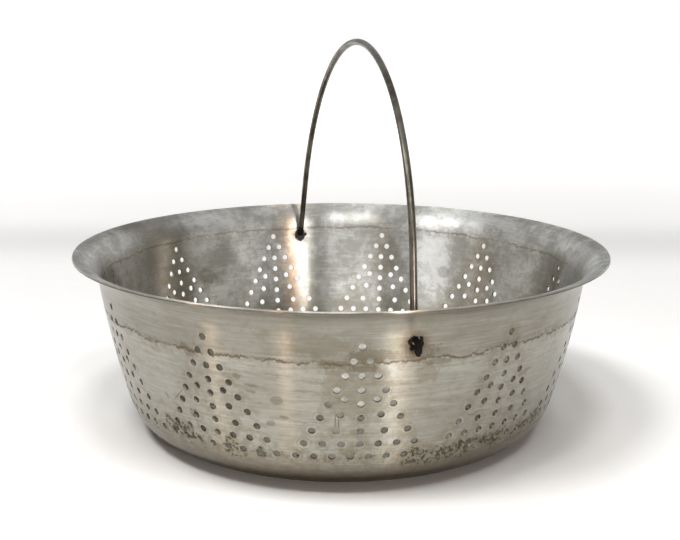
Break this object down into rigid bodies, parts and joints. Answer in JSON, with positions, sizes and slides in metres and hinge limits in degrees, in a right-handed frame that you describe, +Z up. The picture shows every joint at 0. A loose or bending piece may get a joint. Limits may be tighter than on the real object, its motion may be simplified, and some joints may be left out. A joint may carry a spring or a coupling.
{
  "type": "round colander with bail handle",
  "caption": "Round steel colander: flat base, leaning wall with triangular groups of drain holes, wide flared rim and a wire bail handle that swings in two wall holes.",
  "frame": {"origin": "centre of the underside of the base, on the table", "axes": "+Z up along the bowl's axis, +Y along the line that the bail turns about, +X to the side that the bail leans to"},
  "size_m": [0.254, 0.254, 0.1825],
  "materials": {
    "bowl_steel": "worn and stained, with fine marks running round the bowl",
    "wire_steel": "dark drawn wire, smooth and slightly glossy"
  },
  "bodies": {
    "bowl_body": {"bowl": "bowl_steel"},
    "bail_body": {"bail_handle": "wire_steel"}
  },
  "joints": [
    {"name": "bail_swing", "type": "hinge", "parent": "bowl_body", "child": "bail_body", "pos_m": [0.0022, 0, 0.0694], "axis": [0, 1, 0], "range_deg": [-126, 83]}
  ]
}
